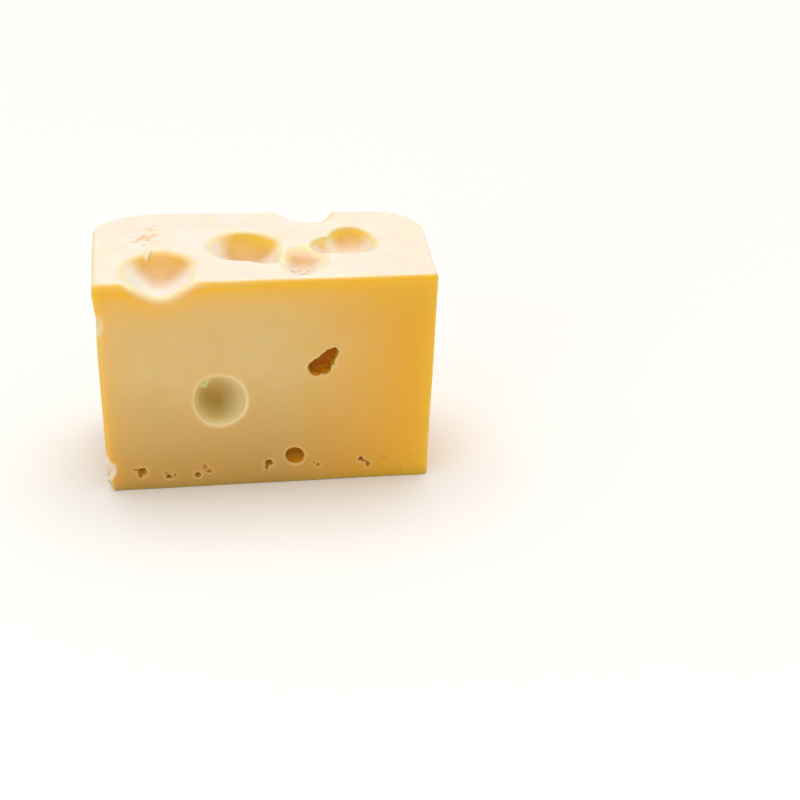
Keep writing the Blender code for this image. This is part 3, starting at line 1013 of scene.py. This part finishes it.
    def all(self) -> dict[str, Numbers]:
        """Every mark.

        Returns:
            "hollow" is how far the point lies below the uncut block, in millimetres. The others run from 0 to
            1. "torn" is for the small holes, the slit and the torn patches, "upper" for the painted light of
            skin that faces up, and "golden" for light that has come through the paste. "bowl" marks the bowls
            of the top, "lit_near_lip" the painted light of their near sides, "rim" the painted highlights
            round holes and "fresh" broken paste. "bounced" is the light that an eye's walls throw onto each
            other, and
            "level" is 1 where the skin lies flat and faces up.
        """
        x, _, z = self.points.T
        details = self.detail()
        bowl = clamped(2.2 - (BLOCK.top(x) - z) / 9) * clamped((self.hollow - 0.5) / 2.2)
        upper, near_lip_light = self.upper(), self.near_lip_light()
        return {
            "golden": np.maximum(self.golden(bowl, upper, near_lip_light), details.pop("thin")),
            "hollow": self.hollow,
            "upper": upper,
            "bowl": bowl,
            "lit_near_lip": near_lip_light * bowl,
            "bounced": self.bounced(),
            "level": clamped(self.normals[:, 2]),
            **details,
        }


@dataclass
class CheeseBlock:
    """The cheese: its form with every hollow, its skin as a mesh, and its finish."""

    most_triangles: int = 185_000
    margin: float = 1.5  # how far beyond a small feature's reach the full mesh is kept
    settle_steps: int = 2

    def field(self, at: Samples) -> Numbers:
        """Field of the whole cheese: the block, torn, then with each hollow cut from it with its own rim.

        Args:
            at: The samples.

        Returns:
            The field, one number for each sample.
        """
        values = BLOCK.distance(at)
        for tear in TEARS:
            values = values + tear.carved(at)
        for hollow in HOLLOWS:
            window, part = samples_in(at, *hollow.reach())
            rim = hollow.rim_at(part) if isinstance(hollow, Eye) else hollow.rim
            values[window] = round_join(values[window], -hollow.distance(part), rim)
        for shard in SHARDS:
            window, part = samples_in(at, *shard.reach())
            values[window] = -round_join(-values[window], -shard.distance(part), shard.root)
        return values

    def settle(self, points: Numbers) -> Numbers:
        """Moves points onto the surface by Newton's step: against the gradient, by the field over its square.

        Args:
            points: Points near the surface, in millimetres.

        Returns:
            The points on the surface.
        """
        reach, longest = 0.02, 0.3
        for _ in range(self.settle_steps):
            here = self.field(points.T)
            slope = np.empty_like(points)
            for axis, step in enumerate(np.eye(3) * reach):
                slope[:, axis] = (self.field((points + step).T) - self.field((points - step).T)) / (2 * reach)
            steep = np.maximum((slope ** 2).sum(axis=1), 0.25)
            move = np.clip(here / steep, -longest, longest)[:, None] * slope
            points = points - move
        return points

    def skin(self) -> bpy.types.Mesh:
        """The skin as a mesh in metres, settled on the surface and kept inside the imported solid's box."""
        around, coarse, fine = 1.5, 0.8, 0.45
        half, top = BLOCK.width / 2 + around, BLOCK.height_left + around
        near, far = BLOCK.front - around, BLOCK.depth / 2 + around
        x = GridLines(-half, half, ((-58.0, 56.0),), coarse, 0.46).lines()
        y = GridLines(near, far, ((near, BLOCK.front + 14.0),), coarse, fine).lines()
        z = GridLines(-1.25, top, ((-1.25, 15.0), (43.0, 64.0), (86.0, top)), coarse, fine).lines()
        values = self.field((x[:, None, None], y[None, :, None], z[None, None, :]))
        self.solid = Solid(x, y, z, values < 0)
        points, quads = Skin(x, y, z).points_and_quads(values)
        log.info("skin: grid %s, %d points, %d quads", values.shape, len(points), len(quads))
        points = self.settle(points)
        log.info("skin settled")
        low, high = (np.array(corner) / MM for corner in cad_box)
        points = np.clip(points, low, high)
        mesh = bpy.data.meshes.new("cheese_skin")
        mesh.from_pydata((points * MM).tolist(), [], quads.tolist())
        mesh.polygons.foreach_set("use_smooth", np.ones(len(quads), bool))
        return self.thinned(mesh, points)

    def thinned(self, mesh: bpy.types.Mesh, points: Numbers) -> bpy.types.Mesh:
        """The mesh with its flattest faces merged until it has few enough triangles, none near fine detail.

        Args:
            mesh: The full skin.
            points: Its points, in millimetres.

        Returns:
            The thinned skin.
        """
        detailed = np.zeros(len(points), bool)
        for feature in (TOP_BOWLS[-1], *SIDE_EYES, *CHIPS, *TORN_MARKS, *CRACKS):
            low, high = feature.reach()
            (near,), _ = samples_in(points.T, low - self.margin, high + self.margin)
            detailed[near] = True
        holder = put_in_scene("thinning", mesh)
        plain = holder.vertex_groups.new(name="plain")
        plain.add(np.nonzero(~detailed)[0].tolist(), 1.0, "REPLACE")
        thin = holder.modifiers.new("thin", "DECIMATE")
        thin.ratio = min(1.0, self.most_triangles / (2 * len(mesh.polygons)))
        thin.vertex_group = plain.name
        thin.vertex_group_factor = 1.0
        graph = bpy.context.evaluated_depsgraph_get()
        kept = bpy.data.meshes.new_from_object(holder.evaluated_get(graph))
        bpy.data.objects.remove(holder, do_unlink=True)
        bpy.data.meshes.remove(mesh)
        kept.name = "cheese_skin"
        return kept

    def mark(self, mesh: bpy.types.Mesh) -> None:
        """Stores the marks at each point of the skin.

        Args:
            mesh: The skin.
        """
        read = []
        for name in ("co", "normal"):
            flat = np.empty(len(mesh.vertices) * 3, np.float32)
            mesh.vertices.foreach_get(name, flat)
            read.append(flat.reshape(-1, 3).astype(float))
        points, normals = read
        for name, values in SkinMarks(points / MM, normals, self.solid).all().items():
            layer = mesh.attributes.new(name, "FLOAT", "POINT")
            layer.data.foreach_set("value", values.astype(np.float32))

    def build(self) -> bpy.types.Object:
        """Makes the cheese, dresses it and puts it in the frame.

        Returns:
            The cheese.
        """
        mesh = self.skin()
        log.info("skin thinned to %d faces", len(mesh.polygons))
        self.mark(mesh)
        log.info("skin marked")
        mesh.materials.append(CheeseFinish().material())
        cheese = put_in_scene("cheese_body", mesh)
        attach(cheese, BODY)
        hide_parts(NODE)
        return cheese


@dataclass(frozen=True)
class Crumbs:
    """Tiny crumbs that the knife dragged out and that stick to the cut skin, as one closed mesh each."""

    spots: tuple[tuple[float, float, float, float], ...] = (
        (15.4, -22.9, 88.0, 1.0), (17.9, -22.4, 88.0, 0.5), (13.4, -20.8, 88.0, 0.5),
        (20.4, -20.6, 88.0, 0.4), (-28.3, -40.6, 5.8, 0.4), (-27.5, -40.6, 5.2, 0.3),
        (-28.9, -40.6, 4.9, 0.26), (-1.2, -40.6, 4.2, 0.3),
    )  # X, Y and Z to start from and half size, in millimetres
    sunk: float = 0.46  # how far behind the front face a crumb's middle lies
    seed: int = 404

    def mesh(self, cheese: CheeseBlock) -> bpy.types.Mesh:
        """Lays each crumb on the skin: a ball whose radius is swollen by two sharp swells.

        Args:
            cheese: The cheese that the crumbs stick to.

        Returns:
            The crumbs.
        """
        starts = np.array([spot[:3] for spot in self.spots])
        sizes = np.array([spot[3] for spot in self.spots])
        places = starts.copy()
        for _ in range(12):
            places = cheese.settle(places)
        places[:, 1] = np.maximum(places[:, 1], BLOCK.front + self.sunk)
        ball = bpy.data.meshes.new("ball")
        shape = bmesh.new()
        bmesh.ops.create_icosphere(shape, subdivisions=3, radius=1.0)
        shape.to_mesh(ball)
        shape.free()
        unit = np.empty(len(ball.vertices) * 3, np.float32)
        ball.vertices.foreach_get("co", unit)
        unit = unit.reshape(-1, 3).astype(float)
        faces = np.array([list(face.vertices) for face in ball.polygons])
        bpy.data.meshes.remove(ball)
        points, triangles = [], []
        for number, (place, size) in enumerate(zip(places, sizes)):
            lumps = Swell(1.4, self.seed + number).height(unit.T)
            lumps = lumps + 0.5 * Swell(0.6, self.seed + 50 + number).height(unit.T)
            radius = size * (1 + 0.22 * lumps)[:, None] * np.array([1.0, 0.8, 0.75])
            triangles.append(faces + len(unit) * number)
            points.append(place + unit * radius)
        mesh = bpy.data.meshes.new("crumbs_skin")
        mesh.from_pydata((np.concatenate(points) * MM).tolist(), [], np.concatenate(triangles).tolist())
        mesh.polygons.foreach_set("use_smooth", np.ones(len(mesh.polygons), bool))
        return mesh

    def build(self, cheese: CheeseBlock) -> bpy.types.Object:
        """Makes the crumbs and puts them in the frame.

        Args:
            cheese: The cheese that the crumbs stick to.

        Returns:
            The crumbs.
        """
        mesh = self.mesh(cheese)
        mesh.materials.append(CrumbFinish().material())
        crumbs = put_in_scene("cheese_crumbs", mesh)
        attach(crumbs, BODY)
        return crumbs


class NodeTree:
    """A new material's nodes, with short ways to add those that the finishes share."""

    def __init__(self, name: str) -> None:
        """Makes the material and empties its tree.

        Args:
            name: The material's name.
        """
        self.material = bpy.data.materials.new(name)
        self.material.use_nodes = True
        self.tree = self.material.node_tree
        self.tree.nodes.clear()
        self.place = self.add("TexCoord").outputs["Object"]

    def add(
        self, kind: str, links: dict | None = None, values: dict | None = None, **settings
    ) -> bpy.types.Node:
        """Adds a node.

        Args:
            kind: The node's type, without its "ShaderNode" prefix.
            links: Sockets that feed its inputs, by input name or number.
            values: Values of its inputs, by input name or number.
            settings: Its own properties.

        Returns:
            The node.
        """
        node = self.tree.nodes.new("ShaderNode" + kind)
        for name, value in settings.items():
            setattr(node, name, value)
        for name, value in (values or {}).items():
            node.inputs[name].default_value = value
        for name, source in (links or {}).items():
            self.tree.links.new(source, node.inputs[name])
        return node

    def mark(self, name: str) -> Socket:
        """One of the numbers that are stored at the skin's points."""
        return self.add("Attribute", attribute_name=name).outputs["Fac"]

    def ramp(self, source: Socket, low: float, high: float, first: float = 0.0, last: float = 1.0) -> Socket:
        """A number that goes from the first to the last as the source goes from low to high."""
        return self.add("MapRange", {0: source}, {1: low, 2: high, 3: first, 4: last}).outputs[0]

    def noise(self, size_mm: float, detail: float) -> Socket:
        """Soft noise whose patches are about this many millimetres across, from 0 to 1."""
        values = {"Scale": 1 / (size_mm * MM), "Detail": detail, "Roughness": 0.55}
        return self.add("TexNoise", {"Vector": self.place}, values).outputs["Fac"]

    def bump(self, height: Socket, strength: float, rise_mm: float) -> Socket:
        """A surface direction that follows this height."""
        values = {"Strength": strength, "Distance": rise_mm * MM}
        return self.add("Bump", {"Height": height}, values).outputs[0]

    def mix(self, share: Socket, first: Socket | str, second: Socket | str) -> Socket:
        """A colour that goes from the first to the second as the share goes from 0 to 1.

        Args:
            share: The share of the second colour.
            first: A hex colour or a socket.
            second: A hex colour or a socket.

        Returns:
            The mixed colour's socket.
        """
        links, values = {0: share}, {}
        for number, colour in ((6, first), (7, second)):
            if isinstance(colour, str):
                values[number] = linear_colour(colour)
            else:
                links[number] = colour
        return self.add("Mix", links, values, data_type="RGBA").outputs[2]

    def finished(self, links: dict, values: dict, **settings) -> bpy.types.Material:
        """The material, with a Principled shader that has these inputs as its surface.

        Args:
            links: Sockets that feed the shader's inputs, by input name.
            values: Values of its inputs, by input name.
            settings: Its own properties.

        Returns:
            The material.
        """
        shader = self.add("BsdfPrincipled", links, values, **settings)
        self.add("OutputMaterial", {"Surface": shader.outputs[0]})
        return self.material


@dataclass(frozen=True)
class CheeseFinish:
    """Large-eyed mountain cheese, ripened under a foil and cut with a wire: an even, elastic, fatty paste.

    The eye sees light that has gone centimetres through the paste, which takes the blue out of it, so thin
    edges and the walls of the eyes glow golden; that glow is painted into the colour as well as given by the
    subsurface light. The cut skin is satin with a trace of fat, the eyes are smoother and glossier where gas
    pressed them out, and what is torn is matt and darker, with painted shade deeper in.
    """

    # painted light: the top is painted paler than the sides, as light from overhead would leave it
    lit_top_paste: str = "#f6e5cf"
    lit_top_patch: str = "#f9ebda"
    side_paste: str = "#e8c986"
    side_patch: str = "#eacd8e"
    # painted shade: the sides are painted darker towards the base
    base_shade_paste: str = "#cfa14a"
    # painted glow: the right end is painted golden, as light coming in through it would leave it
    right_glow_paste: str = "#f4b512"
    # painted highlight on the rims of eyes, holes and cracks
    rim_highlight: str = "#fde6c0"
    fresh_break: str = "#ffe4d0"
    # painted light near an eye's rim and painted shade deep in it
    eye_lit_wall: str = "#ffebac"
    eye_deep_shade: str = "#c3a038"
    eye_bounce: str = "#fff6d6"
    # painted light on the near lips of the top's bowls, and painted shade deeper in them
    bowl_lit_lip: str = "#ffecdc"
    bowl_floor_shade: str = "#dcb384"
    # painted glow: golden light through thin edges and on the far walls of the top's bowls
    lit_bowl: str = "#ffda50"
    lit_bowl_floor: str = "#e0a840"
    lit_edge: str = "#ffc62c"
    torn_skin: str = "#e0ac6c"
    torn_mouth: str = "#c99a3c"
    # painted shade at the holes' middle depth
    torn_middle_shade: str = "#a9700c"
    torn_inside: str = "#cb7200"
    # painted light on the holes' floors that face up
    torn_lit_floor: str = "#e6a41c"
    roughness: float = 0.46
    ior: float = 1.45
    light_path_mm: float = 6.0
    patch_mm: float = 14.0
    curd_mm: float = 1.6
    grain_mm: float = 0.45

    def material(self) -> bpy.types.Material:
        """The cheese's material."""
        nodes = NodeTree("cheese_paste_wire_cut")
        mix, ramp = nodes.mix, nodes.ramp
        patches = nodes.noise(self.patch_mm, 3.0)
        curds = nodes.noise(self.curd_mm, 2.0)
        grain = nodes.noise(self.grain_mm, 2.0)
        hollow, torn, upper, golden, bowl = map(nodes.mark, ("hollow", "torn", "upper", "golden", "bowl"))
        rim, fresh, bounced = map(nodes.mark, ("rim", "fresh", "bounced"))
        level, lit_near_lip = map(nodes.mark, ("level", "lit_near_lip"))
        axes = nodes.add("SeparateXYZ", {0: nodes.place}).outputs

        spread = ramp(patches, 0.35, 0.65)
        top = mix(spread, self.lit_top_paste, self.lit_top_patch)
        side = mix(spread, self.side_paste, self.side_patch)
        # painted shade: the sides darken over their lowest 52 mm
        shaded_to_base = mix(ramp(axes["Z"], 52 * MM, 0.0), side, self.base_shade_paste)
        # painted glow: the sides turn golden towards the right end
        right = mix(ramp(axes["X"], 4 * MM, 62 * MM), shaded_to_base, self.right_glow_paste)
        # painted light: where the skin faces up it takes the top's paler colour
        paste = mix(upper, right, top)
        # painted shade: the eyes' walls are pale near the rim and darken as they run deeper
        eye = mix(ramp(hollow, 2.5, 8.6), self.eye_lit_wall, self.eye_deep_shade)
        brighter = mix(bounced, eye, self.eye_bounce)
        # painted shade deeper in the top's bowls, and painted light on their near lips
        bowl_depth_shade = mix(ramp(hollow, 2.0, 7.0), self.bowl_lit_lip, self.bowl_floor_shade)
        wall = mix(bowl, brighter, mix(lit_near_lip, bowl_depth_shade, self.bowl_lit_lip))
        walled = mix(ramp(hollow, 0.3, 1.5), paste, wall)
        lit_down = mix(ramp(level, 0.55, 0.92), self.lit_bowl, self.lit_bowl_floor)
        glowing = mix(golden, walled, mix(bowl, self.lit_edge, lit_down))
        # painted highlight on the rims round eyes, holes and cracks
        rim_lit = mix(rim, glowing, self.rim_highlight)
        # the torn paste's own colour, with painted shade at middle depth and painted light on floors that
        # face up
        mouth = mix(ramp(hollow, 0.4, 1.2), self.torn_skin, self.torn_mouth)
        shaded = mix(ramp(hollow, 1.2, 2.6), mouth, self.torn_middle_shade)
        inside = mix(ramp(hollow, 3.2, 5.0), shaded, self.torn_inside)
        holed = mix(torn, rim_lit, mix(level, inside, self.torn_lit_floor))

        dull = ramp(curds, 0.3, 0.7, self.roughness - 0.07, self.roughness + 0.07)
        glossy = ramp(hollow, 0.5, 4.0, 0.0, -0.12)
        smoother = nodes.add("Math", {0: dull, 1: glossy}, operation="ADD").outputs[0]
        rough = nodes.add("Math", {0: torn, 2: smoother}, {1: 0.25}, operation="MULTIPLY_ADD").outputs[0]
        relief = nodes.add("Math", {0: curds, 2: grain}, {1: 2.0}, operation="MULTIPLY_ADD").outputs[0]
        links = {
            "Base Color": mix(fresh, holed, self.fresh_break),
            "Roughness": rough,
            "Normal": nodes.bump(relief, 0.35, 0.05),
            "Specular IOR Level": ramp(torn, 0.0, 1.0, 0.5, 0.1),
            "Subsurface Weight": ramp(torn, 0.2, 1.0, 1.0, 0.4),
        }
        values = {
            "IOR": self.ior,
            "Subsurface Radius": (1.0, 0.55, 0.18),
            "Subsurface Scale": self.light_path_mm * MM,
            "Coat Weight": 0.08,
            "Coat Roughness": 0.3,
        }
        return nodes.finished(links, values, subsurface_method="RANDOM_WALK")


@dataclass(frozen=True)
class CrumbFinish:
    """Crumbs of the same paste, dried at their edges: nearly white, matt and a little grainy."""

    pale: str = "#fdecd6"
    dry: str = "#f0d9b0"

    def material(self) -> bpy.types.Material:
        """The crumbs' material."""
        nodes = NodeTree("cheese_crumb_dry")
        grain = nodes.noise(0.4, 2.0)
        links = {
            "Base Color": nodes.mix(grain, self.pale, self.dry),
            "Roughness": nodes.ramp(grain, 0.3, 0.7, 0.55, 0.75),
            "Normal": nodes.bump(grain, 0.4, 0.04),
        }
        values = {
            "Subsurface Weight": 0.5,
            "Subsurface Radius": (1.0, 0.8, 0.5),
            "Subsurface Scale": 0.5 * MM,
        }
        return nodes.finished(links, values)


@dataclass(frozen=True)
class Studio:
    """A pale floor, soft lamps and the camera at the photograph's angle. Lengths are in millimetres."""

    floor_half: float = 3000.0
    floor_gap: float = 0.02
    floor_colour: str = "#f5f3f0"
    camera_place: tuple[float, float, float] = (-32.11, -783.34, 400.44)
    camera_down: float = 26.0  # degrees below the horizon
    camera_across: float = 6.624  # degrees from +Y towards +X
    sensor_mm: float = 36.0
    lens_mm: float = 90.0
    sky_strength: float = 1.85
    sky_angle: float = 60.0
    sky_behind: float = 14.0
    fill_place: tuple[float, float, float] = (-800.0, -1000.0, 620.0)
    fill_aim: tuple[float, float, float] = (0.0, 0.0, 45.0)
    fill_side: float = 700.0
    fill_watts: float = 1.8
    surround: float = 0.52

    def floor(self) -> None:
        """A pale floor with a faint tooth, just under the cheese."""
        half, drop = self.floor_half * MM, -self.floor_gap * MM
        mesh = bpy.data.meshes.new("floor")
        corners = [(-half, -half, drop), (half, -half, drop), (half, half, drop), (-half, half, drop)]
        mesh.from_pydata(corners, [], [(0, 1, 2, 3)])
        nodes = NodeTree("pale_matt_floor")
        tooth = nodes.add("TexNoise", {"Vector": nodes.place}, {"Scale": 60.0, "Detail": 2.0}).outputs["Fac"]
        values = {"Base Color": linear_colour(self.floor_colour), "Roughness": 0.8}
        mesh.materials.append(nodes.finished({"Normal": nodes.bump(tooth, 0.05, 1.0)}, values))
        floor = put_in_scene("floor", mesh)

    def fill(self) -> None:
        """A square softbox that lifts the shade on the left."""
        light = bpy.data.lights.new("left_fill", "AREA")
        light.shape = "RECTANGLE"
        light.size = light.size_y = self.fill_side * MM
        light.energy = self.fill_watts
        lamp = put_in_scene("left_fill", light)
        lamp.location = Vector(self.fill_place) * MM
        lamp.rotation_euler = (Vector(self.fill_aim) * MM - lamp.location).to_track_quat("-Z", "Y").to_euler()

    def sky(self) -> None:
        """A broad soft light from overhead and a little behind, as even as a large silk."""
        light = bpy.data.lights.new("overhead_silk", "SUN")
        light.energy = self.sky_strength
        light.angle = math.radians(self.sky_angle)
        sky = put_in_scene("overhead_silk", light)
        sky.rotation_euler = (-math.radians(self.sky_behind), 0.0, -math.radians(self.camera_across))

    def world(self) -> None:
        """An even pale surround."""
        world = bpy.data.worlds.new("pale_surround")
        world.use_nodes = True
        background = world.node_tree.nodes["Background"]
        background.inputs["Color"].default_value = (1.0, 1.0, 1.0, 1.0)
        background.inputs["Strength"].default_value = self.surround
        bpy.context.scene.world = world

    def camera(self) -> None:
        """The camera, at the photograph's place and angle."""
        data = bpy.data.cameras.new("camera")
        data.sensor_width = self.sensor_mm
        data.lens = self.lens_mm
        camera = put_in_scene("camera", data)
        camera.location = Vector(self.camera_place) * MM
        camera.rotation_euler = (math.radians(90 - self.camera_down), 0.0, -math.radians(self.camera_across))
        bpy.context.scene.camera = camera

    def build(self) -> None:
        """Sets up the floor, the light, the surround and the camera."""
        self.floor()
        self.sky()
        self.fill()
        self.world()
        self.camera()
        scene = bpy.context.scene
        scene.view_settings.view_transform = "Standard"
        scene.view_settings.look = "None"


def main() -> None:
    logging.basicConfig(level=logging.INFO, format="%(relativeCreated)d ms %(name)s: %(message)s")
    block = CheeseBlock()
    for piece in (block.build(), Crumbs().build(block)):
        log.info("%s: %d faces", piece.name, len(piece.data.polygons))
    Studio().build()
    log.info("studio: floor, lamps and camera")


if __name__ == "__main__":
    main()
